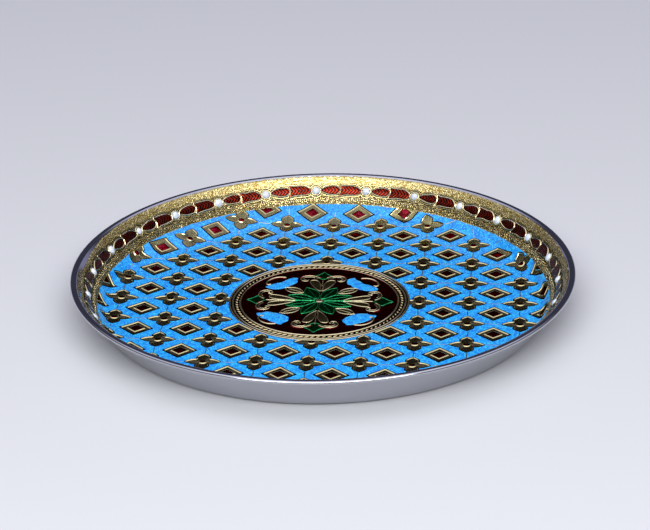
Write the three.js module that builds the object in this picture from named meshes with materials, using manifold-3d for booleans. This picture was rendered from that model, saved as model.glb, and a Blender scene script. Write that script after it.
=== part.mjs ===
// Enamelled steel plate: a pressed stainless dish with a hemmed lip, lined with embossed gold foil
// whose cells are flooded with coloured enamel.
//
// Millimetres, +Z up. The origin is the centre of the flat underside, which rests on the table.
// A section is drawn in the (radius, height) plane and turned about Z.

import * as THREE from "three";
import { mergeVertices } from "three/addons/utils/BufferGeometryUtils.js";
import Module from "manifold-3d";

const wasm = await Module();
wasm.setup();

// Steel dish. Overall: 254 mm across the lip, 19.8 mm high.
const STEEL = 0.8; // sheet thickness
const FLOOR_RADIUS = 109.4; // flat of the underside
const CORNER_RADIUS = 4; // underside of the bend from floor to wall
const WALL_LEAN = THREE.MathUtils.degToRad(34); // from the vertical
const HEIGHT = 19.8; // table to the top of the lip
const LIP_BEND = 0.6; // underside of the bend from wall to lip
const LIP_FLAT = 1.35; // level run of the lip, and the run of the hem folded back below it
const HEM_GAP = 0.4; // between the two layers of the hem

// Gold foil lining.
const FOIL = 0.3; // embossed foil with its backing
const SEAT_GAP = 0.3; // glue line and running clearance between neighbouring pieces
const SHEET_BEND = 12; // underside of the floor sheet where it bridges the corner
const SHEET_RISE = 0.4; // straight run of the floor sheet up the wall
const BAND_REVEAL = 0.2; // bare steel between the band's top edge and the lip's bend

// Enamel.
const ENAMEL = 0.3; // depth of a flooded cell

// The sheet's pattern was laid slightly turned and off centre.
const PATTERN_TURN = THREE.MathUtils.degToRad(-5.1);
const PATTERN_SHIFT = new THREE.Vector2(-2.1, 0.7);

// Lattice of flowers and diamonds.
const LATTICE_X = 25.3; // flower to flower across
const LATTICE_Y = 23.8; // flower to flower up and down
const DIAMOND_HALF_X = 8.5;
const DIAMOND_HALF_Y = 8.1;
const FLOWER_HALF_X = 8.8;
const FLOWER_HALF_Y = 8.6;
const FLOWER_NOTCH = 2.6; // notch between two petals, across and up from the centre

// Medallion.
const RING_INNER = 40.4;
const RING_OUTER = 45.8;
const RING_HEIGHT = 0.7; // beaded ring above the foil
const STAR_PETALS = 8;
const STAR_OUTER = 17.5;
const STAR_INNER = 10.5;
const ARM_ROOT = 13; // gold palmette: root, waist, scrolls and shoulders outwards
const ARM_ROOT_HALF = 1.2;
const ARM_WAIST = 20;
const ARM_WAIST_HALF = 4.5;
const ARM_SCROLL = 25.5;
const ARM_SCROLL_HALF = 10.5;
const ARM_SHOULDER = 30;
const ARM_SHOULDER_HALF = 6;
const BUD_START = 28; // green bud in the palmette's fork
const BUD_END = 38;
const BUD_HALF = 4.2;
const LEAF_START = 13.5; // small gold leaf on the diagonal
const LEAF_END = 24;
const LEAF_HALF = 2.4;
const CLOUD_START = 26; // blue cloud outside the small leaf
const CLOUD_END = 36;
const CLOUD_HALF = 8;
const CLOUD_LOBES = 6;
const CLOUD_DIP = 0.82; // between two lobes, as a share of the cloud's reach

// Garland on the wall band: leaf pairs strung between raised drops.
const GARLAND_DROP = 0.5; // from the middle of the band down to the garland's line
const DROP_COUNT = 27;
const DROP_RADIUS = 2;
const DROP_HEIGHT = 1.3;
const DROP_COLLAR = 1.6; // bare ring between a drop and the leaves
const FIRST_DROP = THREE.MathUtils.degToRad(11.4); // from +X, anticlockwise
const STEM_HALF = 0.5; // hairline stem that runs on under the drops
const SMALL_LEAF_HALF = 2.2;
const LARGE_LEAF_HALF = 2.7;
const LEAF_WAIST_HALF = 1.3;
const SMALL_LEAF_SHARE = 0.45; // of the room between two drops
// Points along a leaf from its stem: share of its length, share of its half width.
const LARGE_LEAF_EDGE = [
  [0.3, 0.8],
  [0.7, 0.9],
  [0.96, 1],
];
const SMALL_LEAF_EDGE = [
  [0.35, 1],
  [0.7, 0.8],
];

// Fineness of the faceted surfaces.
const FACETS = 60; // round the plate
const DROP_FACETS = 10; // round a drop
const DROP_RINGS = 3; // from a drop's foot to its crown
const CURVE_ERROR = 0.08; // between an arc and its chord

// Materials.
const finish = (color, roughness, metalness) =>
  new THREE.MeshStandardMaterial({ color, roughness, metalness });
const polishedSteel = finish(0xb9bcc4, 0.15, 1);
const goldFoil = finish(0xc9a54a, 0.35, 1);
const blueEnamel = finish(0x1f93f2, 0.2, 0);
const maroonEnamel = finish(0x2a060c, 0.15, 0);
const greenEnamel = finish(0x0c4a22, 0.15, 0);
const redEnamel = finish(0x8e1210, 0.15, 0);
const whiteEnamel = finish(0xe9f2ff, 0.15, 0);

// Solids from geometries and back, for joining and cutting.
function toSolid(geometry) {
  const bare = geometry.clone();
  bare.deleteAttribute("normal");
  bare.deleteAttribute("uv");
  const merged = mergeVertices(bare, 1e-4);
  return new wasm.Manifold(
    new wasm.Mesh({
      numProp: 3,
      vertProperties: merged.attributes.position.array,
      triVerts: new Uint32Array(merged.index.array),
    }),
  );
}

function toGeometry(solid) {
  const { vertProperties, triVerts } = solid.getMesh();
  const geometry = new THREE.BufferGeometry();
  geometry.setAttribute("position", new THREE.BufferAttribute(vertProperties, 3));
  geometry.setIndex(new THREE.BufferAttribute(triVerts, 1));
  geometry.computeVertexNormals();
  return geometry;
}

// The crumbs that a cell cuts off at the edge of the enamel are left out.
function largestBody(solid) {
  return solid.decompose().reduce((a, b) => (a.volume() > b.volume() ? a : b));
}

function joined(solids) {
  return wasm.Manifold.union(solids);
}

function named(name, geometry, material) {
  const mesh = new THREE.Mesh(geometry, material);
  mesh.name = name;
  return mesh;
}

// Flat outlines.
const point = (x, y) => new THREE.Vector2(x, y);
const polar = (radius, angle) => point(radius * Math.cos(angle), radius * Math.sin(angle));

// A closed outline moved outwards by a distance, with mitred corners.
function outset(outline, distance) {
  const count = outline.length;
  const outward = (from, to) => point(to.y - from.y, from.x - to.x).normalize();
  return outline.map((corner, i) => {
    const before = outward(outline[(i + count - 1) % count], corner);
    const after = outward(corner, outline[(i + 1) % count]);
    const mitre = before.clone().add(after).divideScalar(1 + before.dot(after));
    return corner.clone().addScaledVector(mitre, distance);
  });
}

// A prism that stands on the plane at the given height.
function prism(outline, bottom, depth) {
  const geometry = new THREE.ExtrudeGeometry(new THREE.Shape(outline), {
    depth,
    bevelEnabled: false,
  });
  return geometry.translate(0, 0, bottom);
}

// An outline from its upper half, drawn from its outer end back to its root along +X.
function mirrored(half) {
  const inner = half.filter(({ y }) => y > 0);
  return [...half, ...inner.reverse().map(({ x, y }) => point(x, -y))];
}

function turned(outline, angle, centre = point(0, 0)) {
  return outline.map((p) => p.clone().rotateAround(point(0, 0), angle).add(centre));
}

// Sections of bent sheet.
// A section starts at a point of its underside and follows moves: a straight run, or a turn with
// the underside's radius, to the left when positive. The sheet's thickness lies on the left.
function bentSheet(start, heading, moves, thickness) {
  const under = [];
  const over = [];
  let at = start.clone();
  let angle = heading;
  const left = () => point(-Math.sin(angle), Math.cos(angle));
  const mark = () => {
    under.push(at.clone());
    over.unshift(at.clone().addScaledVector(left(), thickness));
  };
  mark();
  for (const { run, turn, radius } of moves) {
    if (run) {
      at.add(point(Math.cos(angle), Math.sin(angle)).multiplyScalar(run));
      mark();
      continue;
    }
    const side = Math.sign(turn);
    const centre = at.clone().addScaledVector(left(), side * radius);
    const widest = Math.max(radius, radius - side * thickness);
    const chord = 2 * Math.acos(1 - CURVE_ERROR / widest);
    const steps = Math.ceil(Math.abs(turn) / chord);
    for (let i = 0; i < steps; i++) {
      angle += turn / steps;
      at = centre.clone().addScaledVector(left(), -side * radius);
      mark();
    }
  }
  return [...under, ...over];
}

// A section turned about Z. One that starts on the axis also ends there.
function turnedSection(section, facets = FACETS) {
  const closed = section[0].x > 0 ? [...section, section[0]] : section;
  return new THREE.LatheGeometry(closed, facets).rotateX(Math.PI / 2);
}

// The wall as a frame: station is the distance up its straight part, depth the distance from the
// underside of the steel towards the inside of the dish.
const tilt = Math.PI / 2 - WALL_LEAN;
const wallUp = point(Math.cos(tilt), Math.sin(tilt));
const wallIn = point(-Math.sin(tilt), Math.cos(tilt));
const bendRise = 1 - Math.cos(tilt);
const lipUnderside = HEIGHT - STEEL;
const wallRun = (lipUnderside - (CORNER_RADIUS + LIP_BEND) * bendRise) / Math.sin(tilt);
const wallFoot = point(
  FLOOR_RADIUS + CORNER_RADIUS * Math.sin(tilt),
  CORNER_RADIUS * bendRise,
);

function onWall(station, depth) {
  return wallFoot.clone().addScaledVector(wallUp, station).addScaledVector(wallIn, depth);
}

// A sheet that lies on the floor at a level, bends with a radius on its underside and climbs the
// wall at a depth: its level run, and the station where its bend ends.
function fitToCorner(level, radius, depth) {
  const foot = onWall(0, depth);
  const corner = foot.x + ((level - foot.y) * wallUp.x) / wallUp.y;
  const tangent = radius * Math.tan(tilt / 2);
  const bendEnd = point(corner, level).addScaledVector(wallUp, tangent);
  return { run: corner - tangent, station: bendEnd.sub(foot).dot(wallUp) };
}

// Steel plate.
function steelPlate() {
  const moves = [
    { run: FLOOR_RADIUS },
    { turn: tilt, radius: CORNER_RADIUS },
    { run: wallRun },
    { turn: -tilt, radius: LIP_BEND },
    { run: LIP_FLAT },
    { turn: -Math.PI, radius: HEM_GAP / 2 },
    { run: LIP_FLAT },
  ];
  return turnedSection(bentSheet(point(0, 0), 0, moves, STEEL));
}

// The layers on the floor, from the steel up, and their depths on the wall.
const foilFloor = STEEL;
const enamelFloor = foilFloor + FOIL;
const foilDepth = STEEL + SEAT_GAP;
const enamelDepth = foilDepth + FOIL + SEAT_GAP;
const foilFit = fitToCorner(foilFloor, SHEET_BEND, foilDepth);
const sheetEdge = foilFit.station + SHEET_RISE;

function floorLayer(level, radius, depth, thickness) {
  const { run, station } = fitToCorner(level, radius, depth);
  const moves = [{ run }, { turn: tilt, radius }, { run: sheetEdge - station }];
  return toSolid(turnedSection(bentSheet(point(0, level), 0, moves, thickness)));
}

// The pattern, in its own frame. How far a point of the flat sheet lies from the axis once the
// sheet's edge is bent up the wall.
function drapedRadius(flatRadius) {
  const overrun = flatRadius - foilFit.run;
  if (overrun <= 0) return flatRadius;
  const bent = Math.min(overrun / SHEET_BEND, tilt);
  const climbed = overrun - bent * SHEET_BEND;
  return foilFit.run + SHEET_BEND * Math.sin(bent) + climbed * wallUp.x;
}

const sheetRadius = foilFit.run + SHEET_BEND * tilt + SHEET_RISE;

const diamondOutline = [
  point(DIAMOND_HALF_X, 0),
  point(0, DIAMOND_HALF_Y),
  point(-DIAMOND_HALF_X, 0),
  point(0, -DIAMOND_HALF_Y),
];
const flowerOutline = [
  point(FLOWER_HALF_X, 0),
  point(FLOWER_NOTCH, FLOWER_NOTCH),
  point(0, FLOWER_HALF_Y),
  point(-FLOWER_NOTCH, FLOWER_NOTCH),
  point(-FLOWER_HALF_X, 0),
  point(-FLOWER_NOTCH, -FLOWER_NOTCH),
  point(0, -FLOWER_HALF_Y),
  point(FLOWER_NOTCH, -FLOWER_NOTCH),
];

// Cells of the lattice in the plate's frame: flowers on the lattice's points, diamonds between.
function latticeCells() {
  const cells = [];
  const across = Math.ceil(sheetRadius / LATTICE_X);
  const up = Math.ceil(sheetRadius / LATTICE_Y);
  for (let i = -2 * across; i <= 2 * across; i++) {
    for (let j = -2 * up; j <= 2 * up; j++) {
      if ((i + j) % 2) continue;
      const home = point((i * LATTICE_X) / 2, (j * LATTICE_Y) / 2);
      const centre = turned([home], PATTERN_TURN, PATTERN_SHIFT)[0];
      const flat = centre.length();
      if (home.length() < RING_OUTER || flat > sheetRadius) continue;
      centre.setLength(drapedRadius(flat));
      const outline = i % 2 ? diamondOutline : flowerOutline;
      cells.push(turned(outline, PATTERN_TURN, centre));
    }
  }
  return cells;
}

const ringOutline = (radius) =>
  Array.from({ length: FACETS }, (_, i) => polar(radius, (2 * Math.PI * i) / FACETS));

// Floor foil with the raised ring of the medallion.
function floorFoil() {
  const rooted = foilFloor + FOIL / 2;
  const crest = enamelFloor + RING_HEIGHT;
  const middle = (RING_INNER + RING_OUTER) / 2;
  const section = [
    point(RING_INNER, rooted),
    point(RING_OUTER, rooted),
    point(RING_OUTER, enamelFloor + RING_HEIGHT / 2),
    point(middle, crest),
    point(RING_INNER, enamelFloor + RING_HEIGHT / 2),
  ];
  const ring = turnedSection(section).translate(PATTERN_SHIFT.x, PATTERN_SHIFT.y, 0);
  const sheet = floorLayer(foilFloor, SHEET_BEND, foilDepth, FOIL);
  return toGeometry(joined([sheet, toSolid(ring)]));
}

// Blue enamel, flooded round every cell of the lattice and round the medallion.
function blueGround() {
  const layer = floorLayer(enamelFloor, SHEET_BEND - FOIL, enamelDepth, ENAMEL);
  const hole = turned(ringOutline(RING_OUTER + SEAT_GAP), 0, PATTERN_SHIFT);
  const cutters = [hole, ...latticeCells()].map((outline) =>
    toSolid(prism(outline, 0, HEIGHT)),
  );
  return toGeometry(largestBody(layer.subtract(joined(cutters))));
}

// Medallion cells, drawn along +X of the pattern and turned into place.
const starOutline = Array.from({ length: 2 * STAR_PETALS }, (_, i) =>
  polar(i % 2 ? STAR_OUTER : STAR_INNER, (Math.PI * i) / STAR_PETALS),
);
const armOutline = mirrored([
  point(BUD_START, 0),
  point(ARM_SHOULDER, ARM_SHOULDER_HALF),
  point(ARM_SCROLL, ARM_SCROLL_HALF),
  point(ARM_WAIST, ARM_WAIST_HALF),
  point(ARM_ROOT, ARM_ROOT_HALF),
]);
const budOutline = mirrored([
  point(BUD_END, 0),
  point((BUD_START + BUD_END) / 2, BUD_HALF),
  point(BUD_START, 0),
]);
const leafOutline = mirrored([
  point(LEAF_END, 0),
  point((LEAF_START + LEAF_END) / 2, LEAF_HALF),
  point(LEAF_START, 0),
]);
const cloudOutline = Array.from({ length: 2 * CLOUD_LOBES }, (_, i) => {
  const reach = i % 2 ? CLOUD_DIP : 1;
  const angle = (Math.PI * i) / CLOUD_LOBES;
  const middle = (CLOUD_START + CLOUD_END) / 2;
  return point(
    middle + reach * (CLOUD_END - middle) * Math.cos(angle),
    reach * CLOUD_HALF * Math.sin(angle),
  );
});

const quarterTurns = [0, 1, 2, 3].map((i) => (i * Math.PI) / 2);
const diagonals = quarterTurns.map((angle) => angle + Math.PI / 4);

// Maroon enamel with a window for each coloured cell, and for the gold foil of palmettes and leaves.
function maroonGround() {
  const windows = [
    outset(starOutline, SEAT_GAP),
    ...quarterTurns.map((angle) => turned(armOutline, angle)),
    ...quarterTurns.map((angle) => turned(outset(budOutline, SEAT_GAP), angle)),
    ...diagonals.map((angle) => turned(leafOutline, angle)),
    ...diagonals.map((angle) => turned(outset(cloudOutline, SEAT_GAP), angle)),
  ].map((outline) => toSolid(prism(outline, -ENAMEL, 3 * ENAMEL)));
  const ground = toSolid(prism(ringOutline(RING_INNER - SEAT_GAP), 0, ENAMEL));
  return toGeometry(largestBody(ground.subtract(joined(windows))));
}

// Wall band. Its foil runs from the floor sheet's edge to just under the lip.
const bandFoot = sheetEdge + SEAT_GAP;
const bandTop = wallRun - BAND_REVEAL;

function wallBandFoil() {
  return turnedSection([
    onWall(bandFoot, foilDepth),
    onWall(bandTop, foilDepth),
    onWall(bandTop, foilDepth + FOIL),
    onWall(bandFoot, foilDepth + FOIL),
  ]);
}

// The garland lies just below the middle of the band, clear of the middle of the foil's facets.
const garlandStation = (bandFoot + bandTop) / 2 - GARLAND_DROP;
const bandRadius = onWall(garlandStation, foilDepth + FOIL).x;
const facetSag = bandRadius * (1 - Math.cos(Math.PI / FACETS));
const garlandDepth = foilDepth + FOIL + facetSag + SEAT_GAP;
const dropPitch = (2 * Math.PI * bandRadius) / DROP_COUNT;

// Half width of the garland from one drop to the next: a large leaf with its barbs at its far
// end, the waist, and a small leaf.
function garlandWidths() {
  const start = DROP_RADIUS + DROP_COLLAR;
  const room = dropPitch - 2 * start;
  const small = room * SMALL_LEAF_SHARE;
  const waist = start + room - small;
  const leaf = (edge, from, length, half) =>
    edge.map(([along, width]) => [from + length * along, half * width]);
  return [
    [0, STEM_HALF],
    [start, STEM_HALF],
    ...leaf(LARGE_LEAF_EDGE, start, room - small, LARGE_LEAF_HALF),
    [waist, LEAF_WAIST_HALF],
    ...leaf(SMALL_LEAF_EDGE, waist, small, SMALL_LEAF_HALF),
    [start + room, STEM_HALF],
  ];
}

// One unbroken ring of rectangular section whose width follows the leaves.
function redGarland() {
  const widths = garlandWidths();
  const corners = [
    [-1, 0],
    [1, 0],
    [1, ENAMEL],
    [-1, ENAMEL],
    [-1, 0],
  ];
  const blank = corners.map(([side, rise]) => onWall(garlandStation + side, garlandDepth + rise));
  const ring = new THREE.LatheGeometry(blank, DROP_COUNT * widths.length);
  const position = ring.getAttribute("position");
  for (let i = 0; i < position.count; i++) {
    const [side, rise] = corners[i % corners.length];
    const step = Math.floor(i / corners.length) % (DROP_COUNT * widths.length);
    const [along, half] = widths[step % widths.length];
    const turns = Math.floor(step / widths.length) + along / dropPitch;
    const angle = FIRST_DROP + (2 * Math.PI * turns) / DROP_COUNT;
    const { x, y } = onWall(garlandStation + side * half, garlandDepth + rise);
    position.setXYZ(i, x * Math.cos(angle), x * Math.sin(angle), y);
  }
  return ring;
}

// A drop is a low dome that straddles the stem.
function dropDome() {
  const arc = Array.from({ length: DROP_RINGS }, (_, i) => {
    const angle = (Math.PI / 2) * (i / DROP_RINGS);
    return point(DROP_RADIUS * Math.cos(angle), DROP_HEIGHT * Math.sin(angle));
  });
  const crown = point(0, DROP_HEIGHT);
  const dome = toSolid(turnedSection([point(0, 0), ...arc, crown], DROP_FACETS));
  const straddle = 2 * (STEM_HALF + SEAT_GAP);
  const groove = new THREE.BoxGeometry(straddle, 3 * DROP_RADIUS, 2 * (ENAMEL + SEAT_GAP));
  return toGeometry(dome.subtract(toSolid(groove)));
}

// The plate put together.
const plate = new THREE.Group();
plate.add(named("steel_plate", steelPlate(), polishedSteel));
plate.add(named("floor_foil", floorFoil(), goldFoil));
plate.add(named("wall_band_foil", wallBandFoil(), goldFoil));
plate.add(named("blue_ground_enamel", blueGround(), blueEnamel));

const pattern = new THREE.Group();
pattern.position.set(PATTERN_SHIFT.x, PATTERN_SHIFT.y, enamelFloor);
pattern.rotation.z = PATTERN_TURN;
pattern.add(named("maroon_ground_enamel", maroonGround(), maroonEnamel));
pattern.add(named("green_star_enamel", prism(starOutline, 0, ENAMEL), greenEnamel));
quarterTurns.forEach((angle, i) => {
  const bud = named(`green_bud_enamel_${i + 1}`, prism(budOutline, 0, ENAMEL), greenEnamel);
  bud.rotation.z = angle;
  pattern.add(bud);
});
diagonals.forEach((angle, i) => {
  const cloud = named(`blue_cloud_enamel_${i + 1}`, prism(cloudOutline, 0, ENAMEL), blueEnamel);
  cloud.rotation.z = angle;
  pattern.add(cloud);
});
plate.add(pattern);

plate.add(named("red_garland_enamel", redGarland(), redEnamel));
const dome = dropDome();
const dropSeat = onWall(garlandStation, garlandDepth);
for (let i = 0; i < DROP_COUNT; i++) {
  const spoke = new THREE.Group();
  spoke.rotation.z = FIRST_DROP + (2 * Math.PI * i) / DROP_COUNT;
  const label = String(i + 1).padStart(2, "0");
  const drop = named(`white_drop_enamel_${label}`, dome, whiteEnamel);
  drop.position.set(dropSeat.x, 0, dropSeat.y);
  drop.rotation.y = -tilt;
  spoke.add(drop);
  plate.add(spoke);
}

export default plate;
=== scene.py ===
"""Enamelled steel plate: polished dish, embossed gold foil and flooded enamel, round the fixed frame.

Lengths are millimetres, as in the solids, until a mesh is made. A cell or leaf is drawn flat, with
x to the right and y up, and is then laid on the floor sheet or on the wall band.
"""

import bpy
import numpy as np
from mathutils import Matrix


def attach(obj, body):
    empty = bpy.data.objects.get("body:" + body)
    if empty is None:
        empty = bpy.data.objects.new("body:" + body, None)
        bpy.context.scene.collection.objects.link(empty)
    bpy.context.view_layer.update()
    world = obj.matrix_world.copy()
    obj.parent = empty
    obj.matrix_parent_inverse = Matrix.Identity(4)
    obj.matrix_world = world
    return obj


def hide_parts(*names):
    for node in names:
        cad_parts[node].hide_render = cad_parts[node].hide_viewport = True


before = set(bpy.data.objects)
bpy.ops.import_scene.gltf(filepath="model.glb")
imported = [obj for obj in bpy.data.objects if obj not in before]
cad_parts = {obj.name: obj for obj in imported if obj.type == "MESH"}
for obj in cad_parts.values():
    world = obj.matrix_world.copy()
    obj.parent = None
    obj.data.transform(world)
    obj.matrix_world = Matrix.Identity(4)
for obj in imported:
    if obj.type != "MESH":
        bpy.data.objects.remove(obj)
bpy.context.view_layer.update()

MM = 0.001
TURN = 2 * np.pi
random = np.random.default_rng(11)

# Steel dish
STEEL = 0.8
FLOOR_RADIUS = 109.4
CORNER_RADIUS = 4.0
TILT = np.radians(56)
HEIGHT = 19.8
LIP_BEND = 0.6
LIP_FLAT = 1.35
HEM_GAP = 0.4

# Foil lining
FOIL = 0.3
FOIL_TOP = STEEL + FOIL
BAND_DEPTH = 1.4
SHEET_EDGE_STATION = 4.877
BAND_TOP_STATION = 20.2
BRIDGE_START = 98.5
BRIDGE_SOFTNESS = 3.0
BEND_START = 90.0
PLEAT_COUNT = 7
PLEAT_HEIGHT = 0.11
EDGE_MARGIN = 0.1

# Floor pattern
PATTERN_TURN = np.radians(-5.1)
PATTERN_SHIFT = np.array([-2.1, 0.7])
LATTICE_X = 25.3
LATTICE_Y = 23.8
DIAMOND = (8.5, 8.1)
CELL_SIDE_POINTS = 12
# Cells and links are drawn from these distances from the medallion's middle, and cells to this far
# past the sheet's edge, where they are cut off
CELL_FROM_RING = 43.0
LINK_FROM_RING = 46.5
CELL_PAST_EDGE = 3.0
# Distance from a flower's middle to the start of its links, along x and along y
LINK_START = (8.9, 8.7)
BLUE_TOP = 0.3

# Medallion
RING_CLEAR = 45.6
GROUND_TOP = 0.26

# Garland on the wall band
DROPS = 27
DROP_STATION = 12.2
FIRST_DROP = np.radians(11.4)
PITCH = 27.4

wall_up = np.array([np.cos(TILT), np.sin(TILT)])
wall_in = np.array([-np.sin(TILT), np.cos(TILT)])
wall_foot = np.array([FLOOR_RADIUS + CORNER_RADIUS * np.sin(TILT), CORNER_RADIUS * (1 - np.cos(TILT))])
wall_run = (HEIGHT - STEEL - (CORNER_RADIUS + LIP_BEND) * (1 - np.cos(TILT))) / np.sin(TILT)


def unit(angle):
    """Points of the unit circle at angles."""
    return np.stack([np.cos(angle), np.sin(angle)], -1)


def circle(count):
    """Evenly spaced points of the unit circle, anticlockwise from the right."""
    return unit(TURN * np.arange(count) / count)


def norm(vectors):
    """Lengths of plane vectors (..., 2)."""
    return np.hypot(vectors[..., 0], vectors[..., 1])


def straight(start, end, count):
    """A straight path along x."""
    return np.stack([np.linspace(start, end, count), np.zeros(count)], -1)


def on_wall(station, depth):
    """Radius and height of points on the wall: the foot plus the station up the wall plus the depth
    from the underside of the steel towards the inside."""
    station, depth = np.broadcast_arrays(station, depth)
    return wall_foot + station[..., None] * wall_up + depth[..., None] * wall_in


def smooth(low, high, value):
    """The smooth step 3t^2 - 2t^3 of t, the value's share of the way from low to high."""
    t = np.clip((value - low) / (high - low), 0, 1)
    return t * t * (3 - 2 * t)


# Sections of the floor sheet

band_edge = on_wall(SHEET_EDGE_STATION, BAND_DEPTH)


def measured(path):
    """Length along a path of (radius, height) points, with the path: the sum of its chords, counted
    so that the flat sheet's radius and the length are the same number."""
    chords = norm(np.diff(path, axis=0))
    return path[0, 0] + np.concatenate([[0], np.cumsum(chords)]), path


def tight_section():
    """The sheet pressed into the corner: flat, then the steel's own arc a foil higher, then up to the
    band's edge."""
    bend = CORNER_RADIUS - FOIL_TOP
    angles = np.linspace(0, TILT, 30)
    arc = np.stack([FLOOR_RADIUS + bend * np.sin(angles), CORNER_RADIUS - bend * np.cos(angles)], -1)
    return measured(np.concatenate([[[0, FOIL_TOP]], arc, [band_edge]]))


def bridged_section():
    """The sheet that bridges the corner: a slope that grows from nothing, z = k (sqrt(t^2 + w^2) + t) / 2
    with t the radius past the bridge's start and w its softness."""
    radius = np.linspace(BRIDGE_START - 14, band_edge[0], 80)
    past = radius - BRIDGE_START
    lift = (np.sqrt(past ** 2 + BRIDGE_SOFTNESS ** 2) + past) / 2
    lift = (lift - lift[0]) / (lift[-1] - lift[0]) * (band_edge[1] - FOIL_TOP)
    path = np.stack([radius, FOIL_TOP + lift], -1)
    return measured(np.concatenate([[[0, FOIL_TOP]], path]))


tight, bridged = tight_section(), bridged_section()
SHEET_EDGE = (tight[0][-1] + bridged[0][-1]) / 2


def bridge_share(azimuth):
    """Share of the bridged section round the plate: nearly all of it at the back, some on the left."""
    degrees = [-170, -120, -40, 15, 40, 58, 70, 80, 90, 134, 142, 150, 162, 172, 190]
    shares = [0.28, 0.10, 0.05, 0.05, 0.20, 0.26, 0.36, 0.80, 1.0, 1.0, 0.62, 0.42, 0.34, 0.25, 0.28]
    return np.interp(azimuth, np.radians(degrees), shares, period=TURN)


def sheet_section(flat_radius, share):
    """Radius and height of the sheet's top at a flat radius: both sections, each stretched to end at
    the band's edge, mixed by the share."""
    mixed = 0
    for (length, path), weight in ((tight, 1 - share), (bridged, share)):
        stretch = (length[-1] - BEND_START) / (SHEET_EDGE - BEND_START)
        stretched = BEND_START + (flat_radius - BEND_START) * stretch
        own = np.where(flat_radius > BEND_START, stretched, flat_radius)
        point = np.stack([np.interp(own, length, path[:, 0]), np.interp(own, length, path[:, 1])], -1)
        mixed = mixed + np.asarray(weight)[..., None] * point
    return mixed


pleat_waves = random.integers(30, 96, PLEAT_COUNT)
pleat_phases = random.uniform(0, TURN, PLEAT_COUNT)


def pleats(flat_radius, azimuth):
    """Radial pleats where the sheet bends: a sum of waves round the plate that swells outwards from
    95 mm and dies away under the band."""
    wave = np.sin(azimuth[..., None] * pleat_waves + pleat_phases).sum(-1) / np.sqrt(PLEAT_COUNT)
    swell = smooth(95, 110, flat_radius) * (1 - smooth(113.5, 115.4, flat_radius))
    return PLEAT_HEIGHT * wave * swell * (0.35 + 0.65 * bridge_share(azimuth))


def swung(section, azimuth):
    """Points (radius, height) of a section swung round the axis to an azimuth."""
    radius, height = section[..., 0], section[..., 1]
    points = np.broadcast_arrays(radius * np.cos(azimuth), radius * np.sin(azimuth), height)
    return np.stack(points, -1)


def drape(flat, height):
    """Points of the flat sheet, in the plate's frame, laid on the bent sheet: along its section by
    their distance from the axis, and out along the section's normal by their height."""
    half_step = 0.05
    radius = np.minimum(norm(flat), SHEET_EDGE - 0.06)
    azimuth = np.arctan2(flat[..., 1], flat[..., 0])
    share = bridge_share(azimuth)
    before, after = sheet_section(radius - half_step, share), sheet_section(radius + half_step, share)
    slope = after - before
    slope /= norm(slope)[..., None]
    lift = (height + pleats(radius, azimuth))[..., None]
    spot = (before + after) / 2 + lift * np.stack([-slope[..., 1], slope[..., 0]], -1)
    return swung(spot, azimuth)


def kept_out(flat):
    """Points moved out of the medallion and in from beyond the sheet's edge, along the line to the
    centre, with a mask of those that moved."""
    from_ring = flat - PATTERN_SHIFT
    near = norm(from_ring)
    flat = PATTERN_SHIFT + from_ring * np.maximum(RING_CLEAR / np.maximum(near, 1e-6), 1)[..., None]
    far = norm(flat)
    limit = SHEET_EDGE - EDGE_MARGIN
    flat = flat * np.minimum(limit / np.maximum(far, 1e-6), 1)[..., None]
    return flat, (near < RING_CLEAR) | (far > limit)


def in_plate(pattern):
    """Pattern points in the plate's frame: turned by the pattern's turn, then shifted."""
    c, s = np.cos(PATTERN_TURN), np.sin(PATTERN_TURN)
    return pattern @ np.array([[c, s], [-s, c]]) + PATTERN_SHIFT


def on_floor(pattern, height):
    """Pattern points at a height over the foil."""
    height = np.broadcast_to(height, pattern.shape[:-1])
    return drape(in_plate(pattern), height)


def on_band(local, height):
    """Points of the band: x clockwise from the first drop, y up the wall from the garland's line, and
    the height from the foil towards the inside."""
    height = np.broadcast_to(height, local.shape[:-1])
    section = on_wall(DROP_STATION + local[..., 1], BAND_DEPTH + height)
    return swung(section, FIRST_DROP - local[..., 0] / PITCH * TURN / DROPS)


# Meshes


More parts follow.
